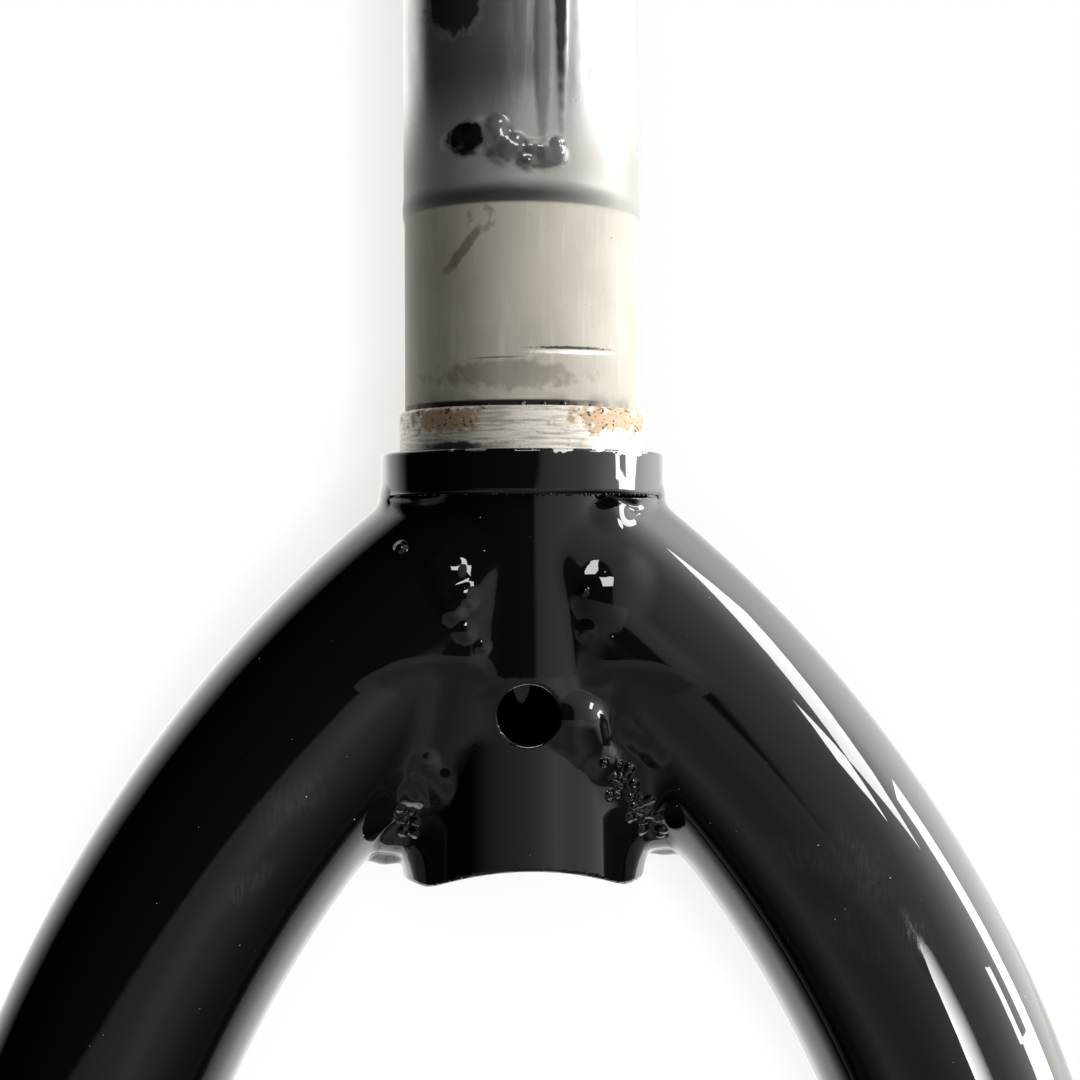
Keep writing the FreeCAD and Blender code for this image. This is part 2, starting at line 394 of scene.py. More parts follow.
def settle(piece):  # the modifiers' result becomes the mesh
    graph = bpy.context.evaluated_depsgraph_get()
    mesh = bpy.data.meshes.new_from_object(piece.evaluated_get(graph))
    piece.modifiers.clear()
    piece.data = mesh


def carry(piece, slot, *nodes):
    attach(piece, "root")
    if nodes:
        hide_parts(*nodes)


def corners(piece):  # vertices in mm
    flat = np.empty(len(piece.data.vertices) * 3)
    piece.data.vertices.foreach_get("co", flat)
    return flat.reshape(-1, 3) / mm


def place(piece, points):
    piece.data.vertices.foreach_set("co", (points * mm).ravel())
    piece.data.update()


def smoothStep(value, low, high):
    share = np.clip((value - low) / (high - low), 0, 1)
    return share * share * (3 - 2 * share)


def turned(name, outline, finish, rounds, fine=(), sharp=35):  # (radius, height) outline spun about Z
    bm = bmesh.new()
    rim = [bm.verts.new((0, radius * mm, height * mm)) for radius, height in outline]
    walls = [bm.edges.new((a, b)) for a, b in zip(rim, rim[1:] + rim[:1])]
    for index, cuts in fine:
        bmesh.ops.subdivide_edges(bm, edges=[walls[index]], cuts=cuts)
    spun = list(bm.verts) + list(bm.edges)
    bmesh.ops.spin(bm, geom=spun, cent=(0, 0, 0), axis=(0, 0, 1), angle=math.tau, steps=rounds,
                   use_merge=True)
    bmesh.ops.remove_doubles(bm, verts=bm.verts, dist=1e-6)
    bmesh.ops.recalc_face_normals(bm, faces=bm.faces)
    piece = newPiece(name, bm, finish)
    piece.data.set_sharp_from_angle(angle=math.radians(sharp))
    return piece


# steerer: wall, bore and top edge, with the paint film's edge, a paint lump and a scratch
steererTube = {
    "rounds": 256,
    "chamfer": 0.4,
    "reliefTop": 62.0,
    "reliefRows": 210,
    "plainRows": 12,
    "seatLap": 1.0,
    "skin": 0.1,  # how near to the outer radius counts as the outer wall
    "film": 0.10,
    "filmEdge": (-0.3, 0.5),
    "fatEdge": 0.14,
    "fatEdgeAbove": 1.3,
    "fatEdgeWidth": 1.1,
    "dripRise": 0.16,
    "dripEdge": (1.6, 0.1),
    "topFade": (1, 3),
    "clot": {"spine": [(-7.6, 35.9), (-4.2, 36.6), (-2.2, 34.9), (1.4, 33.5), (3.8, 35.2)], "beads": 44,
             "spread": 0.9, "size": (0.55, 1.15), "height": (0.22, 0.55), "dome": 0.45, "seed": 11},
    "scratch": {"from": 0.6, "to": 9.2, "taper": 2, "height": 11.4, "depth": 0.14, "width": 0.28},
}


def makeSteerer():
    top = fork["steererTop"]
    radius = fork["steererRadius"]
    bore = fork["boreRadius"]
    chamfer = steererTube["chamfer"]
    outline = [(bore, top), (radius - chamfer, top), (radius, top - chamfer),
               (radius, steererTube["reliefTop"]), (radius, fork["seatTop"] - steererTube["seatLap"]),
               (radius, fork["collarFoot"]), (bore, fork["collarFoot"])]
    plain = steererTube["plainRows"]
    steerer = turned("steerer", outline, bareSteel, steererTube["rounds"],
                     [(3, steererTube["reliefRows"]), (2, plain), (6, plain)])
    points = corners(steerer)
    x, y, z = points.T
    away = np.hypot(x, y)
    wall = away > radius - steererTube["skin"]
    front = (y < 0) & wall
    edge = steelLook["paintEdge"]
    low, high = steererTube["filmEdge"]
    rise = steererTube["film"] * smoothStep(z, edge + low, edge + high)
    fat = (z - edge - steererTube["fatEdgeAbove"]) / steererTube["fatEdgeWidth"]
    rise += steererTube["fatEdge"] * np.exp(-fat ** 2)
    clot = steererTube["clot"]
    dice = np.random.default_rng(clot["seed"])
    spine = np.array(clot["spine"])
    for bead in range(clot["beads"]):
        along = dice.uniform(0, len(spine) - 1)
        first = int(along)
        centre = spine[first] + (spine[first + 1] - spine[first]) * (along - first)
        centre = centre + clot["spread"] * dice.uniform(-1, 1, 2)
        size, height = dice.uniform(*clot["size"]), dice.uniform(*clot["height"])
        gap = ((x - centre[0]) ** 2 + (z - centre[1]) ** 2) / size ** 2
        dome = np.sqrt(np.clip(1 - clot["dome"] * gap, 0, 1))
        rise = np.maximum(rise, front * (height + steererTube["film"]) * dome)
    for centreX, centreZ, half, tall, depth in steelLook["drips"]:
        gap = ((x - centreX) / half) ** 2 + ((z - centreZ) / tall) ** 2
        rise += front * steererTube["dripRise"] * depth * smoothStep(gap, *steererTube["dripEdge"])
    cut = steererTube["scratch"]
    along = smoothStep(x, cut["from"], cut["from"] + cut["taper"])
    along *= smoothStep(x, cut["to"], cut["to"] - cut["taper"])
    rise -= front * cut["depth"] * along * np.exp(-((z - cut["height"]) / cut["width"]) ** 2)
    start, end = steererTube["topFade"]
    rise *= wall * smoothStep(z, top - start, top - end)
    points[:, :2] *= ((away + rise) / away)[:, None]
    place(steerer, points)
    carry(steerer, "bare_steel", "steerer_tube")


makeSteerer()
print("steerer turned")


# race seat above the collar, and the grime bubbles on its upper edge
raceSeat = {"rounds": 224, "chamfer": 0.3, "rows": 30, "foot": -0.4, "bubbleRise": 0.6,
            "bubbles": [(-0.5, 0.36), (1.9, 0.30), (4.2, 0.34), (-4.4, 0.2), (7.4, 0.18)]}


def makeRaceSeat():
    top = fork["seatTop"]
    radius = fork["seatRadius"]
    inner = fork["steererRadius"]
    foot = raceSeat["foot"]
    chamfer = raceSeat["chamfer"]
    outline = [(inner, foot), (radius, foot), (radius, top - chamfer), (radius - chamfer, top),
               (inner, top)]
    seat = turned("race_seat", outline, seatSteel, raceSeat["rounds"], [(1, raceSeat["rows"])])
    carry(seat, "bare_steel", "crown_race_ring")
    bm = bmesh.new()
    for x, size in raceSeat["bubbles"]:
        spot = Vector((x, -math.sqrt(inner ** 2 - x ** 2), top + raceSeat["bubbleRise"] * size)) * mm
        bmesh.ops.create_icosphere(bm, subdivisions=3, radius=size * mm, matrix=Matrix.Translation(spot))
    bubbles = newPiece("paint_bubbles", bm, blackPaint)
    carry(bubbles, "black_paint")


makeRaceSeat()
print("race seat turned")


# painted collar below the seat, its paint a little wavy, with dried drops along the lower edge
collarRing = {
    "rounds": 288,
    "inset": 0.04,
    "edge": 0.32,
    "edgeBend": 0.3,
    "rows": 14,
    "sharp": 60,
    "waves": [(9, 0.6, 0.012), (14, 2.1, 0.012), (23, 4.0, 0.008)],  # count, phase, size
    "waveTwist": 0.35,
    "waveDepth": 1,
    "drops": 46,
    "dropReach": 62.0,
    "dropSize": (0.07, 0.2),
    "dropInset": 0.25,
    "dropSink": 0.3,
    "seed": 3,
}


def makeCollar():
    radius = fork["collarRadius"] - collarRing["inset"]
    foot = fork["collarFoot"]
    inner = fork["steererRadius"]
    edge = collarRing["edge"]
    bend = collarRing["edgeBend"] * edge
    outline = [(inner, 0), (radius - edge, 0), (radius - bend, -bend), (radius, -edge),
               (radius, foot + edge), (radius - bend, foot + bend), (radius - edge, foot), (inner, foot)]
    collar = turned("collar", outline, blackPaint, collarRing["rounds"], [(3, collarRing["rows"])],
                    collarRing["sharp"])
    points = corners(collar)
    x, y, z = points.T
    away = np.hypot(x, y)
    angle = np.arctan2(y, x)
    twist = collarRing["waveTwist"] * z
    sway = sum(size * np.sin(count * angle + phase + twist) for count, phase, size in collarRing["waves"])
    points[:, :2] *= (1 + sway * (away > radius - collarRing["waveDepth"]) / away)[:, None]
    place(collar, points)
    carry(collar, "black_paint")
    dice = np.random.default_rng(collarRing["seed"])
    bm = bmesh.new()
    for drop in range(collarRing["drops"]):
        turn = math.radians(dice.uniform(-1, 1) * collarRing["dropReach"])
        size = dice.uniform(*collarRing["dropSize"])
        reach = radius - edge - dice.uniform(0, collarRing["dropInset"])
        depth = foot - collarRing["dropSink"] * size
        spot = Vector((reach * math.sin(turn), -reach * math.cos(turn), depth)) * mm
        bmesh.ops.create_icosphere(bm, subdivisions=2, radius=size * mm, matrix=Matrix.Translation(spot))
    drops = newPiece("paint_drops", bm, blackPaint)
    carry(drops, "black_paint")


makeCollar()
print("collar turned")


# painted crown: leg tops, steerer end and collar under one skin of weld metal and paint
crown = {
    "film": 0.12,
    "fadeLength": 22.0,
    "fade": 0.17,
    "legEndAngle": 16.0,
    "coarse": 0.9 * mm,
    "voxel": 0.72 * mm,
    "innerRadius": 13.2,
    "edgeRound": 0.5,
    "topGap": 0.02,
    "valleyFill": 6.5,
    "topFill": 3.2,
    "leastFill": 0.15,
    "fillHeights": (-14, -24),
    "ripple": {-1: 0.07, 1: 0.02},
    "ripplePitch": 3.6,
    "rippleHeights": (-25, -19),
    "rippleSides": (3.5, 6.5),
    "rippleSway": (0.8, 0.9, 0.5, 0.7),  # size and turn along X, then along Y
    "shoulderTop": -5.50,
    "shoulderOut": 2.3,
    "shoulderSunk": 4,
    "shoulderSides": (5.0, 13.5),
    "shoulderSlope": 0.8,
    "shoulderSteep": 1.28,
    "shoulderRound": 0.3,
    "shoulderFill": 1.5,
    "collarFill": 2.6,
    "collarLeastFill": 0.2,
    "collarFillSides": (13.8, 16.6),
    "collarFillHeights": (-1.5, -4.0),
    "collarRound": 0.35,
    "collarSink": 0.12,
    "collarLift": 6,
    "collarLiftSides": (15.0, 12.5),
    "postProud": 1.1,
    "postSwell": (-6, 20),  # where the steerer's end starts to swell, and over what length
    "postFoot": (-35, -26.5),
    "padFill": 1.6,
    "pads": [  # a face and the planes that trim it: place, way out, rounding
        [((-9.0, -15.05, -18.0), (-0.03, -1, 0.07), 0), ((0, -15, -26.0), (0, -0.5, -0.87), 2.0),
         ((-4.4, -15, -20), (0.7, -0.7, 0), 2.0), ((-9, 0, -17.2), (-0.66, 0, 0.75), 1.8)],
        [((9.0, -15.10, -18.0), (-0.01, -1, 0.07), 0), ((0, -15, -26.8), (0, -0.5, -0.87), 2.0),
         ((7.0, -15, -20), (-0.7, -0.7, 0), 2.0), ((9, 0, -17.2), (0.66, 0, 0.75), 1.8)]],
    "lumpFill": 1.2,
    "lumpFillShare": 0.4,
    "lumpReach": 1.5,
    "frontLumps": [  # x, z, radius, how proud, and the lean sideways and upwards
        (-10.6, -13.2, 2.4, 0.25, 0, 0), (-8.6, -14.2, 2.2, 0.25, 0, 0), (-9.8, -16.0, 2.4, 0.25, 0, 0),
        (-7.4, -16.8, 1.8, 0.25, 0, 0), (-8.6, -18.4, 1.8, 0.20, 0, 0), (-7.2, -20.8, 1.5, 0.20, 0, 0),
        (-5.2, -22.6, 1.0, 0.15, 0, 0), (-14.6, -11.3, 0.9, 0.55, 0, 0),
        (6.8, -20.8, 1.4, 0.20, 0, 0), (6.5, -16.3, 0.4, 0.32, 0, 0), (11.6, -32.4, 2.2, 0.35, 0.1, 0.2),
        (13.2, -33.7, 2.2, 0.35, 0.1, 0.2), (14.8, -35.2, 2.0, 0.25, 0.1, 0.2)],
    "glints": [  # x, z, radius, how proud, fill round it, and azimuth and elevation of the pane it shows
        (-11.8, -35.4, 2.4, 0.1, 1.0, 2, 33), (-12.9, -38.6, 2.2, 0.1, 0.9, 2, 33),
        (-9.8, -37.6, 2.4, 0.1, 1.0, 2, 33), (11.2, -8.0, 3.0, 0.1, 1.2, 95, 10),
        (12.8, -14.8, 6.0, 0.1, 1.2, 82, 33), (7.5, -29.0, 5.0, 0.3, 0.8, 82, 33),
        (8.2, -31.8, 4.0, 0.2, 0.8, 82, 33), (9.6, -34.6, 3.0, 0.2, 0.8, 82, 33)],
    "crotchLumps": [  # x, y, z, radius
        (-15.9, -3.5, -44.4, 3.4), (-15.5, 2.5, -44.2, 3.4), (-17.0, 0.0, -47.2, 2.8),
        (-16.8, 4.0, -46.2, 2.6), (16.2, -3.0, -44.2, 3.4), (15.6, 3.0, -44.2, 3.4),
        (17.4, 0.0, -46.4, 2.8), (17.2, 4.0, -45.6, 2.6)],
    "beadRows": {"x": -13.9, "z": -43.4, "across": 2, "down": 3, "pitch": 1.35, "radius": 0.7,
                 "stray": 0.2, "sink": 0.25, "fill": 0.25},
    "beadPatch": {"from": (9.9, -37.6), "to": (16.2, -45.6), "spread": 1.7, "count": 34, "radius": 0.55,
                  "sizes": (0.7, 1.2), "sink": 0.25, "fill": 0.4},
    "seed": 7,
}
# rays that look for the skin, the blank under it, its cutter, how it is drawn and where it is finer
probe = {"from": 34.0, "steps": 60, "share": 0.8, "reach": 0.01}
blank = {"sides": (-18, 18.1), "heights": (-47, -6.9), "pitch": 1.5, "radius": 2.0, "under": 0.1,
         "met": 0.05, "leastDepth": 2, "leastLump": 1.5, "legSteps": 48}
cutter = {"boreRadius": 11.6, "boreLength": 90, "boreMiddle": -25, "holeLength": 14, "holeMiddle": -14,
          "copeLength": 40}
drawn = {"leastSteep": 0.05, "mostStep": 1.2, "passes": 3, "rounds": 2, "lastRounds": 3,
         "relax": 0.5, "lastRelax": 0.3}
fine = {"lump": 0.6, "rim": 0.9, "bead": 0.3, "beadRadius": 1.0, "beadRim": 0.5, "footTop": -45,
        "footRadius": 15.5, "lip": 0.8, "lipRadius": 13.5, "padMiddle": (10, -21.5), "padHalf": (7.5, 6)}


def roundUnion(a, b, fill):
    share = np.clip(0.5 + 0.5 * (b - a) / fill, 0, 1)
    return b + (a - b) * share - fill * share * (1 - share)


def roundCut(a, b, fill):
    return -roundUnion(-a, -b, fill)


def legField(points, side):  # distance to one leg's skin, and the way out of it
    lean = math.radians(legBend["lean"])
    x = side * points[:, 0] - bendX
    drop = points[:, 2] - legBend["crossing"]
    y = points[:, 1] * math.cos(lean) - drop * math.sin(lean)
    z = points[:, 1] * math.sin(lean) + drop * math.cos(lean) + legBend["crossing"] - bendZ
    fromCentre = np.hypot(x, z)
    angle = np.arctan2(z, x)
    toEnd = legBend["radius"] * (angle - math.radians(crown["legEndAngle"]))
    film = crown["film"] - crown["fade"] * smoothStep(toEnd, crown["fadeLength"], 0)
    ring = fromCentre - legBend["radius"]
    reach = np.maximum(np.hypot(ring, y), 1e-6)
    tube = reach - legBend["tube"] - film
    out = np.stack([side * ring * x / fromCentre, y, ring * z / fromCentre], 1) / reach[:, None]
    start = legBend["radius"] * (angle - bendStart)
    return np.maximum(tube, np.maximum(start, -toEnd)), out


def padField(points, pad):  # flat weld metal between one leg's front line and the steerer
    body = points[:, 1]
    for spot, way, soft in pad:
        plane = (points - np.array(spot)) @ (np.array(way) / np.linalg.norm(way))
        body = roundCut(body, plane, soft) if soft else np.maximum(body, plane)
    return body


def collarField(points, away):  # distance to the collar, lifted off it at the front and the back
    x, z = points[:, 0], points[:, 2]
    soft = crown["collarRound"]
    sink = crown["collarSink"]
    half = -fork["collarFoot"] / 2
    overSide = away - fork["collarRadius"] + sink + soft
    overEnd = np.abs(z + half) - half + 2 * sink + soft
    collar = np.minimum(np.maximum(overSide, overEnd), 0) - soft
    collar += np.hypot(np.maximum(overSide, 0), np.maximum(overEnd, 0))
    return collar + crown["collarLift"] * smoothStep(np.abs(x), *crown["collarLiftSides"])


def shoulderField(points, away):  # distance to the sloping weld that carries the collar at both sides
    x, z = points[:, 0], points[:, 2]
    sunk = crown["shoulderSunk"]
    out = (crown["shoulderOut"] + sunk) * smoothStep(np.abs(x), *crown["shoulderSides"]) - sunk
    side = away - fork["baseRadius"] - out + crown["shoulderSlope"] * (crown["shoulderTop"] - z)
    return roundCut(side / crown["shoulderSteep"], z - crown["shoulderTop"], crown["shoulderRound"])


def skinField(points, lumps=()):  # distance in mm to the painted skin, below zero inside
    x, y, z = points.T
    away = np.maximum(np.hypot(x, y), 1e-6)
    start, length = crown["postSwell"]
    swell = np.clip((start - z) / length, 0, 1) * smoothStep(z, *crown["postFoot"])
    proud = crown["film"] + crown["postProud"] * swell
    field = roundCut(away - fork["baseRadius"] - proud, fork["steererFoot"] - z, crown["edgeRound"])
    postOut = np.stack([x / away, y / away, np.zeros(len(x))], 1)
    collar = collarField(points, away)
    beside = smoothStep(np.abs(x), *crown["collarFillSides"])
    collarBlend = crown["collarFill"] * beside * smoothStep(z, *crown["collarFillHeights"])
    collarBlend += crown["collarLeastFill"]
    swayX, turnX, swayY, turnY = crown["rippleSway"]
    for side in (1, -1):
        leg, legOut = legField(points, side)
        facing = (postOut * legOut).sum(1)
        deeper = (crown["valleyFill"] - crown["topFill"]) * smoothStep(z, *crown["fillHeights"])
        fill = crown["leastFill"] + (crown["topFill"] + deeper) * np.clip(1 - facing, 0, 1)
        valley = np.clip(1 - np.abs(field - leg) / fill, 0, 1)
        sway = z + swayX * np.sin(turnX * x) + swayY * np.sin(turnY * y)
        ripple = crown["ripple"][side] * valley * np.sin(math.tau * sway / crown["ripplePitch"])
        ripple *= smoothStep(z, *crown["rippleHeights"]) * smoothStep(np.abs(x), *crown["rippleSides"])
        field = roundUnion(field, leg, fill) - ripple
        collar = roundUnion(collar, leg, collarBlend)
    for pad in crown["pads"]:
        field = roundUnion(field, padField(points, pad), crown["padFill"])
    field = roundUnion(field, shoulderField(points, away), crown["shoulderFill"])
    field = np.minimum(field, collar)
    for centre, radius, fill in lumps:
        near = np.abs(z - centre[2]) < radius + crown["lumpReach"]
        near &= np.abs(x - centre[0]) < radius + crown["lumpReach"]
        near &= np.abs(y - centre[1]) < radius + crown["lumpReach"]
        ball = np.linalg.norm(points[near] - centre, axis=1) - radius
        field[near] = roundUnion(field[near], ball, fill)
    hole = fork["holeRadius"] - np.hypot(x, z - fork["holeHeight"])
    field = np.where(y < 0, roundCut(field, hole, crown["edgeRound"]), field)
    field = roundCut(field, fork["copeRadius"] - np.hypot(x, z - copeZ), crown["edgeRound"])
    field = np.maximum(field, crown["innerRadius"] - away)
    return np.maximum(field, z - crown["topGap"])


def slope(points, lumps):
    reach = probe["reach"]
    base = skinField(points, lumps)
    rises = [skinField(points + reach * np.eye(3)[axis], lumps) - base for axis in range(3)]
    return base, np.stack(rises, 1) / reach


def meetSkin(x, z, side, lumps):  # points of the skin met from the front, or from the back
    points = np.stack([x, np.full(len(x), side * probe["from"]), z], 1)
    for step in range(probe["steps"]):
        points[:, 1] -= side * skinField(points, lumps) * probe["share"]
    gap, way = slope(points, lumps)
    return points, gap, way / np.linalg.norm(way, axis=1)[:, None]


def onSkin(x, z, side=-1, lumps=()):
    points, gap, way = meetSkin(np.array([x]), np.array([z]), side, lumps)
    return points[0], way[0]


def compass(azimuth, elevation):  # way out, in degrees clockwise from the camera's side and above level
    azimuth, elevation = math.radians(azimuth), math.radians(elevation)
    return Vector((math.sin(azimuth) * math.cos(elevation), -math.cos(azimuth) * math.cos(elevation),
                   math.sin(elevation)))


def crownLumps():  # balls of the weld: centre, radius, fill round it
    dice = np.random.default_rng(crown["seed"])
    lumps = []
    for x, z, radius, proud, leanX, leanZ in crown["frontLumps"]:
        fill = min(crown["lumpFill"], crown["lumpFillShare"] * radius)
        for side in (-1, 1):  # the same weld behind, a little moved
            stray = dice.uniform(-1, 1, 2) if side == 1 else np.zeros(2)
            point, way = onSkin(-side * x + stray[0], z + stray[1], side)
            way = way + np.array([-side * leanX, 0, leanZ])
            lumps.append((point - way / np.linalg.norm(way) * (radius - proud), radius, fill))
    for x, z, radius, proud, fill, azimuth, elevation in crown["glints"]:
        point, out = onSkin(x, z)
        toCamera = np.array(view["place"]) - point
        way = np.array(compass(azimuth, elevation)) + toCamera / np.linalg.norm(toCamera)
        lumps.append((point + proud * out - way / np.linalg.norm(way) * radius, radius, fill))
    for x, y, z, radius in crown["crotchLumps"]:
        lumps.append((np.array([x, y, z]), radius, crown["lumpFill"]))
    formed = list(lumps)
    rows = crown["beadRows"]
    for column in range(rows["across"]):
        for row in range(rows["down"]):
            x = rows["x"] + (column - (rows["across"] - 1) / 2) * rows["pitch"]
            x += dice.uniform(-rows["stray"], rows["stray"])
            z = rows["z"] - (row - (rows["down"] - 1) / 2) * rows["pitch"]
            z += dice.uniform(-rows["stray"], rows["stray"])
            point, way = onSkin(x, z, -1, formed)
            lumps.append((point - way * rows["sink"], rows["radius"], rows["fill"]))
    patch = crown["beadPatch"]
    start, end = np.array(patch["from"]), np.array(patch["to"])
    for bead in range(patch["count"]):
        x, z = start + (end - start) * dice.uniform() + patch["spread"] * dice.uniform(-1, 1, 2)
        size = patch["radius"] * dice.uniform(*patch["sizes"])
        point, way = onSkin(x, z, -1, formed)
        lumps.append((point - way * patch["sink"] * size, size, patch["fill"] * size))
    return lumps


def underSkin(lumps):  # centres of balls that fill the welds just under the skin
    x, z = np.meshgrid(np.arange(*blank["sides"], blank["pitch"]),
                       np.arange(*blank["heights"], blank["pitch"]))
    for side in (-1, 1):
        points, gap, way = meetSkin(x.ravel(), z.ravel(), side, lumps)
        met = (np.abs(gap) < blank["met"]) & (side * points[:, 1] > blank["leastDepth"])
        yield from (points - way * (blank["radius"] + blank["under"]))[met]


def addRod(bm, radius, length, where, segments):  # sizes in mm, upright before it is turned by where
    bmesh.ops.create_cone(bm, cap_ends=True, segments=segments, radius1=radius * mm, radius2=radius * mm,
                          depth=length * mm, matrix=where)


def addBall(bm, centre, radius, subdivisions):
    spot = Matrix.Translation(Vector(centre) * mm)
    bmesh.ops.create_icosphere(bm, subdivisions=subdivisions, radius=radius * mm, matrix=spot)


def crownBlank(lumps):  # plain solids that the skin is drawn over
    bm = bmesh.new()
    for centre in underSkin(lumps):
        addBall(bm, centre, blank["radius"], 1)
    for centre, radius, fill in lumps:
        if radius > blank["leastLump"]:
            addBall(bm, centre, radius, 2)
    for radius, foot in [(fork["baseRadius"], fork["steererFoot"]),
                         (fork["collarRadius"], fork["collarFoot"])]:
        addRod(bm, radius, -foot, Matrix.Translation((0, 0, foot * mm / 2)), 96)
    crossing = Vector((0, 0, legBend["crossing"] * mm))
    turn = bendStart - math.radians(crown["legEndAngle"])
    lean = Matrix.Rotation(-math.radians(legBend["lean"]), 3, "X")
    for side in (1, -1):
        before = set(bm.verts)
        tilt = Matrix.Rotation(side * (math.pi - bendStart), 4, "Y")
        ring = bmesh.ops.create_circle(bm, cap_ends=True, segments=72, radius=legBend["tube"] * mm,
                                       matrix=Matrix.Translation(crossing) @ tilt)
        disc = ring["verts"] + list({face for vert in ring["verts"] for face in vert.link_faces})
        disc += list({edge for vert in ring["verts"] for edge in vert.link_edges})
        centre = Vector((side * bendX, 0, bendZ)) * mm
        bmesh.ops.spin(bm, geom=disc, cent=centre, axis=(0, side, 0), angle=turn, steps=blank["legSteps"])
        leg = [vert for vert in bm.verts if vert not in before]
        bmesh.ops.rotate(bm, verts=leg, cent=crossing, matrix=lean)
    bmesh.ops.recalc_face_normals(bm, faces=bm.faces)
    return bm


def crownCutter():  # bore, front hole and cope
    bm = bmesh.new()
    flat = Matrix.Rotation(math.pi / 2, 4, "X")
    bore = Matrix.Translation((0, 0, cutter["boreMiddle"] * mm))
    addRod(bm, cutter["boreRadius"], cutter["boreLength"], bore, 64)
    hole = Matrix.Translation(Vector((0, cutter["holeMiddle"], fork["holeHeight"])) * mm) @ flat
    addRod(bm, fork["holeRadius"], cutter["holeLength"], hole, 48)
    cope = Matrix.Translation((0, 0, copeZ * mm)) @ flat
    addRod(bm, fork["copeRadius"], cutter["copeLength"], cope, 128)
    return bm


def drawSkin(piece, lumps, rounds):
    points = corners(piece)
    most = drawn["mostStep"]
    for turn in range(rounds):
        gap, way = slope(points, lumps)
        steep = np.maximum((way ** 2).sum(1), drawn["leastSteep"])
        points -= way * (np.clip(gap, -most, most) / steep)[:, None]
    place(piece, points)
    return points


def relax(piece, share):
    bm = bmesh.new()
    bm.from_mesh(piece.data)
    bmesh.ops.smooth_vert(bm, verts=bm.verts, factor=share, use_axis_x=True, use_axis_y=True,
                          use_axis_z=True)
    bm.to_mesh(piece.data)
    bm.free()


def refine(piece, wanted):  # halves the edges of the faces that wanted picks by their centres
    centres = np.empty(len(piece.data.polygons) * 3)
    piece.data.polygons.foreach_get("center", centres)
    picked = wanted(centres.reshape(-1, 3) / mm)
    bm = bmesh.new()
    bm.from_mesh(piece.data)
    edges = {edge for face, pick in zip(bm.faces, picked) if pick for edge in face.edges}
    bmesh.ops.subdivide_edges(bm, edges=list(edges), cuts=1, use_grid_fill=True)
    bmesh.ops.triangulate(bm, faces=[face for face in bm.faces if len(face.verts) > 4])
    bm.to_mesh(piece.data)
    bm.free()


def makeCrown():
    lumps = crownLumps()
    tool = newPiece("crown_cutter", crownCutter(), blackPaint)
    skin = newPiece("painted_crown", crownBlank(lumps), blackPaint)
    union = skin.modifiers.new("union", "REMESH")
    union.mode = "VOXEL"
    union.voxel_size = crown["coarse"]
    holes = skin.modifiers.new("holes", "BOOLEAN")
    holes.operation = "DIFFERENCE"
    holes.solver = "EXACT"
    holes.use_self = True
    holes.object = tool
    even = skin.modifiers.new("even", "REMESH")
    even.mode = "VOXEL"
    even.voxel_size = crown["voxel"]
    settle(skin)
    bpy.data.objects.remove(tool)
    for turn in range(drawn["passes"]):
        drawSkin(skin, lumps, drawn["rounds"])
        relax(skin, drawn["relax"])
    drawSkin(skin, lumps, drawn["rounds"])

    def nearLumps(centres, margin, largest=math.inf):
        near = np.zeros(len(centres), bool)
        for centre, radius, fill in lumps:
            if radius < largest:
                near |= np.linalg.norm(centres - centre, axis=1) < radius + margin
        return near

    def nearRim(centres, margin):
        away = np.hypot(centres[:, 0], centres[:, 2] - fork["holeHeight"])
        return np.abs(away - fork["holeRadius"]) < margin

    def byLumps(centres):
        x, y, z = centres.T
        away = np.hypot(x, y)
        foot = (z < fine["footTop"]) & (away < fine["footRadius"])
        lip = (np.abs(z - crown["shoulderTop"]) < fine["lip"]) & (away > fine["lipRadius"])
        pads = np.abs(z - fine["padMiddle"][1]) < fine["padHalf"][1]
        pads &= np.abs(np.abs(x) - fine["padMiddle"][0]) < fine["padHalf"][0]
        front = nearLumps(centres, fine["lump"]) | nearRim(centres, fine["rim"]) | pads
        return foot | lip | (front & (y < 0))

    def byBeads(centres):
        beads = nearLumps(centres, fine["bead"], fine["beadRadius"])
        return beads | (nearRim(centres, fine["beadRim"]) & (centres[:, 1] < 0))

    refine(skin, byLumps)
    refine(skin, byBeads)
    drawSkin(skin, lumps, drawn["rounds"])
    relax(skin, drawn["lastRelax"])
    points = drawSkin(skin, lumps, drawn["lastRounds"])
    skin.data.shade_smooth()
    out = slope(points, lumps)[1]
    out /= np.maximum(np.linalg.norm(out, axis=1), 1e-6)[:, None]
    skin.data.normals_split_custom_set_from_vertices(out.tolist())
    carry(skin, "black_paint", "left_crown_weld", "right_crown_weld",
          "left_collar_weld", "right_collar_weld")
    print("crown skin has", len(skin.data.polygons), "faces over", len(lumps), "weld lumps")


makeCrown()


# the frame's own legs, dropouts and tip welds keep their shape and take the paint
for name, node in frame["nodes"].items():
    if not node.hide_render:
        for spot in node.material_slots:
            spot.material = blackPaint
print("frame painted")


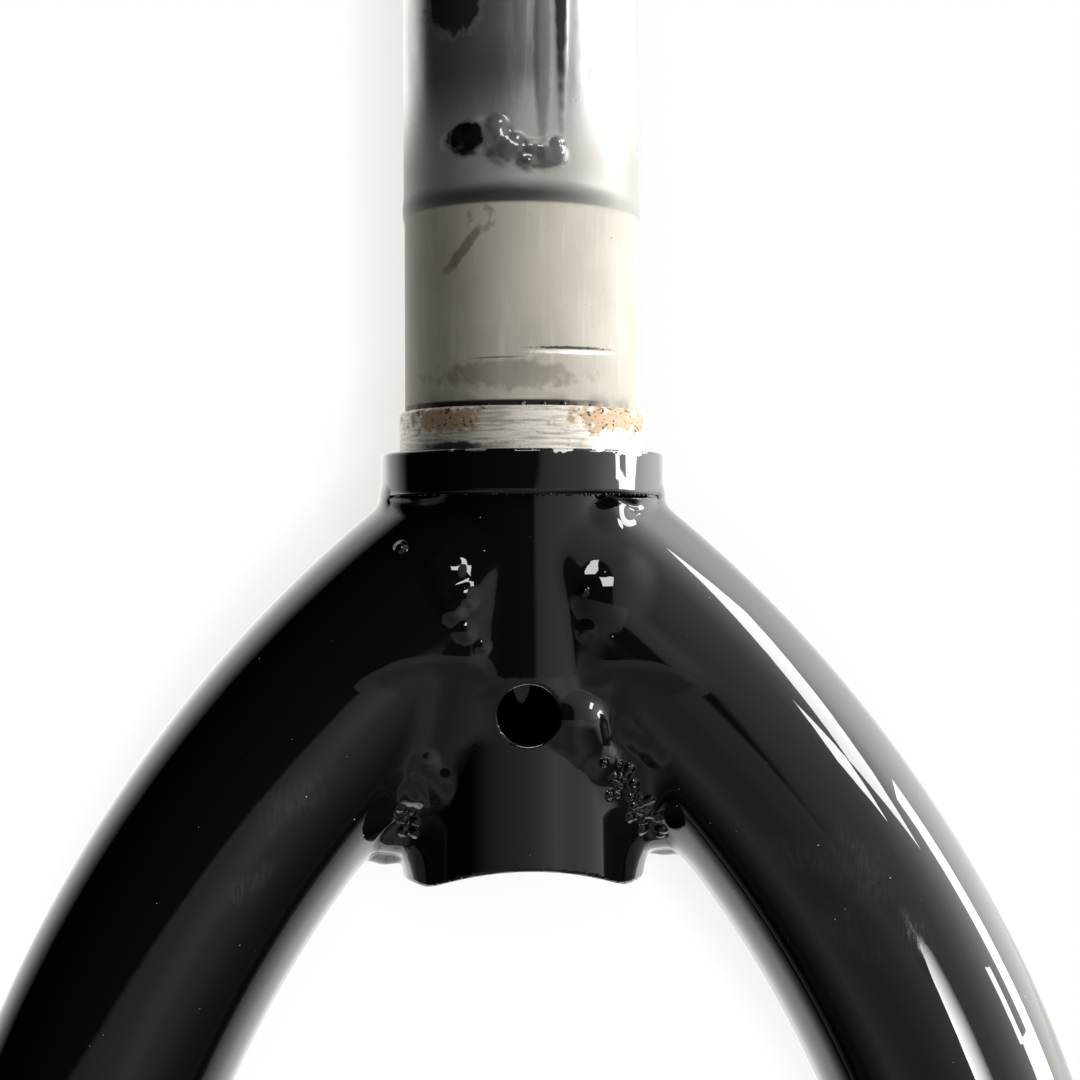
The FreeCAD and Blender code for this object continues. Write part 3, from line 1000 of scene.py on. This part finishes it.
# room that the gloss reflects: azimuth from the front, clockwise seen from above, and brightness
room = {
    "above": [(-180, 1.2), (-150, 2.1), (-128, 1.5), (-115, 0.55), (-106, 0.0), (-30, 0.02), (7.5, 0.04),
              (10.5, 0.45), (16, 0.55), (30, 0.7), (48, 0.9), (62, 1.5), (74, 2.4), (100, 4.6),
              (112, 4.4), (126, 3.4), (142, 2.1), (160, 1.4), (180, 1.2)],
    "level": [(-180, 1.2), (-165, 1.4), (-150, 2.3), (-125, 1.8), (-112, 0.4), (-104, 0.02), (-52, 0.0),
              (-42, 0.1), (-33, 0.22), (-15, 0.34), (2, 0.42), (15, 0.65), (28, 1.0), (45, 0.8),
              (60, 0.95), (76, 1.4), (92, 2.4), (106, 4.2), (122, 3.2), (136, 1.9), (150, 1.4),
              (180, 1.2)],
    "below": [(-180, 1.4), (-165, 2.2), (-125, 1.8), (-112, 0.5), (-104, 0.04), (-75, 0.06), (-60, 0.2),
              (-45, 0.45), (-30, 0.34), (-10, 0.26), (4, 0.28), (15, 0.45), (32, 0.4), (46, 0.24),
              (60, 0.12), (78, 0.06), (92, 0.12), (112, 1.2), (135, 2.2), (165, 2.0), (180, 1.4)],
    "horizon": (-4.0, -1.5),
    "ceiling": (46.0, 66.0),
    "ceilingDim": 0.75,
    "ground": (-13.0, -26.0),
    "brightest": 8.0,
    "tint": (1.0, 0.985, 0.95, 1),
}


def makeRoom():
    world = bpy.data.worlds.new("room")
    world.use_nodes = True
    scene.world = world
    tree = world.node_tree
    tree.nodes.clear()
    way = Wire.node(tree, "TexCoord", output=0)
    x, y, z = [Wire.node(tree, "SeparateXYZ", None, {0: way}, axis) for axis in range(3)]
    turn = x.math("ARCTAN2", y * -1.0) / math.tau + 0.5
    rise = z.math("ARCSINE") * (180 / math.pi)

    def band(name):
        stops = [(azimuth / 360 + 0.5, level / room["brightest"]) for azimuth, level in room[name]]
        return Wire.node(tree, "ValToRGB", {"stops": stops}, {0: turn}) * room["brightest"]

    above = rise.step(*room["horizon"])
    below = rise.step(*room["ground"])
    walls = band("level") * (1.0 - above) * (1.0 - below) + band("above") * above + band("below") * below
    walls = walls * (1.0 - rise.step(*room["ceiling"]) * room["ceilingDim"])
    camera = Wire.node(tree, "LightPath", output=0)
    level = camera + (1.0 - camera) * walls
    tones = {0: camera, 6: room["tint"], 7: (1, 1, 1, 1)}
    tint = Wire.node(tree, "Mix", {"data_type": "RGBA"}, tones, 2)
    sky = Wire.node(tree, "Background", None, {"Color": tint, "Strength": level})
    out = tree.nodes.new("ShaderNodeOutputWorld")
    tree.links.new(sky.socket, out.inputs["Surface"])


makeRoom()


# window panes and lamps: azimuth and elevation of the centre, size in degrees, roll, brightness
panes = {
    "tall_pane": {"azimuth": 95.5, "elevation": 10, "across": 11, "along": 25, "roll": 0, "level": 16},
    "sill_pane": {"azimuth": 85, "elevation": 1.5, "across": 11, "along": 5, "roll": 0, "level": 16},
    "upper_pane": {"azimuth": 82, "elevation": 33, "across": 12, "along": 27, "roll": -38, "level": 16},
    "small_pane": {"azimuth": 61.5, "elevation": 24.5, "across": 7.5, "along": 7, "roll": -30,
                   "level": 20},
    "low_pane": {"azimuth": 79, "elevation": 6.5, "across": 5.5, "along": 6, "roll": 0, "level": 18},
    "ceiling_pane": {"azimuth": 2, "elevation": 33, "across": 14, "along": 12, "roll": 0, "level": 14},
    "soft_pane": {"azimuth": 54, "elevation": 20, "across": 24, "along": 24, "roll": 0, "level": 13,
                  "soft": True},
    "near_pane": {"azimuth": 32.5, "elevation": -4, "across": 19, "along": 26, "roll": 0, "level": 30,
                  "aim": (46, -18, -70), "distance": 0.14, "spread": 34, "facing": 20},
}


def makePanes(distance=1.2, aim=(0, 0, -40)):
    for name, pane in panes.items():
        way = compass(pane["azimuth"], pane["elevation"])
        reach = pane.get("distance", distance)
        lamp = bpy.data.lights.new(name, "AREA")
        lamp.shape = "RECTANGLE"
        lamp.size = 2 * reach * math.tan(math.radians(pane["across"] / 2))
        lamp.size_y = 2 * reach * math.tan(math.radians(pane["along"] / 2))
        lamp.energy = pane["level"] * lamp.size * lamp.size_y * math.pi
        if "spread" in pane:  # a hooded oval lamp: what the hood keeps back makes the rest brighter
            half = math.radians(pane["spread"] / 2)
            lamp.shape = "ELLIPSE"
            lamp.spread = 2 * half
            lamp.energy *= math.pi / 4 * (math.tan(half) - half) / math.tan(half)
        glow = bpy.data.objects.new(name, lamp)
        aside = math.radians(pane.get("facing", pane["azimuth"]) - pane["azimuth"])
        turn = Matrix.Rotation(aside, 4, "Z") @ way.to_track_quat("Z", "Y").to_matrix().to_4x4()
        turn = turn @ Matrix.Rotation(math.radians(pane["roll"]), 4, "Z")
        glow.matrix_world = Matrix.Translation(Vector(pane.get("aim", aim)) * mm + way * reach) @ turn
        soft = pane.get("soft", False)
        glow.visible_camera = False
        glow.visible_glossy = not soft  # the gloss shows panes, the bare steel a soft key
        glow.visible_diffuse = soft
        scene.collection.objects.link(glow)


makePanes()
print("room and window panes lit")


# pale floor under the dropouts, fading out towards its rim
floorLook = {"radius": 0.7, "colour": (0.88, 0.88, 0.87, 1), "roughness": 0.9, "fade": (0.35, 0.98)}


def makeFloor():
    bm = bmesh.new()
    level = Matrix.Translation((0, 0, cadBox[0][2]))
    bmesh.ops.create_circle(bm, cap_ends=True, segments=96, radius=floorLook["radius"], matrix=level)
    pale = Finish("pale_floor")
    pale.give({"Base Color": floorLook["colour"], "Roughness": floorLook["roughness"]})
    reach = (pale.x * pale.x + pale.y * pale.y).math("SQRT") * (mm / floorLook["radius"])
    pale.fade(reach.step(*floorLook["fade"]))
    floor = newPiece("floor", bm, pale.material)
    floor.visible_glossy = False  # the gloss shows the room below instead
    floor.visible_diffuse = False


makeFloor()


# white table close behind the crown, seen from the front only, glowing white with a soft warm shadow
# painted into its glow
table = {"radius": 0.18, "place": (0, 24, -14), "white": (1.0, 1.0, 1.0, 1), "fade": (0.70, 0.98),
         "shade": (0.46, 0.38, 0.30, 1), "reach": 19, "turn": 50, "samples": 2}


def makeTable():
    bm = bmesh.new()
    upright = Matrix.Translation(Vector(table["place"]) * mm) @ Matrix.Rotation(math.pi / 2, 4, "X")
    bmesh.ops.create_circle(bm, cap_ends=True, segments=96, radius=table["radius"], matrix=upright)
    board = Finish("white_table")
    turn = math.radians(table["turn"])
    facing = board.add("CombineXYZ", None, {0: math.sin(turn), 1: -math.cos(turn), 2: 0.0})
    around = {1: table["reach"] * mm, 2: facing}
    # painted shadow: ambient occlusion turned towards the front right darkens the glow next to the fork
    lit = board.add("AmbientOcclusion", {"samples": table["samples"]}, around, 1)
    glow = board.mix(lit, table["shade"], table["white"])
    board.give({"Base Color": (0, 0, 0, 1), "Roughness": 1.0, "Specular IOR Level": 0.0,
                "Emission Strength": 1.0, "Emission Color": glow})
    aside = board.z - table["place"][2]
    reach = (board.x * board.x + aside * aside).math("SQRT") * (mm / table["radius"])
    back = board.add("NewGeometry", output=6)
    board.fade(board.most([reach.step(*table["fade"]), back]))
    sheet = newPiece("white_table", bm, board.material)
    sheet.visible_glossy = False
    sheet.visible_diffuse = False
    sheet.visible_shadow = False


makeTable()


# camera at the photograph's place, level with the crown
def makeCamera():
    lens = bpy.data.cameras.new("front_camera")
    lens.lens = view["lens"]
    lens.sensor_width = view["sensor"]
    lens.clip_start = view["nearest"]
    camera = bpy.data.objects.new("front_camera", lens)
    aim = Vector(view["look"]).to_track_quat("-Z", "Y").to_matrix().to_4x4()
    aim = aim @ Matrix.Rotation(math.radians(view["roll"]), 4, "Z")
    camera.matrix_world = Matrix.Translation(Vector(view["place"]) * mm) @ aim
    scene.collection.objects.link(camera)
    scene.camera = camera


makeCamera()

print("scene ready")
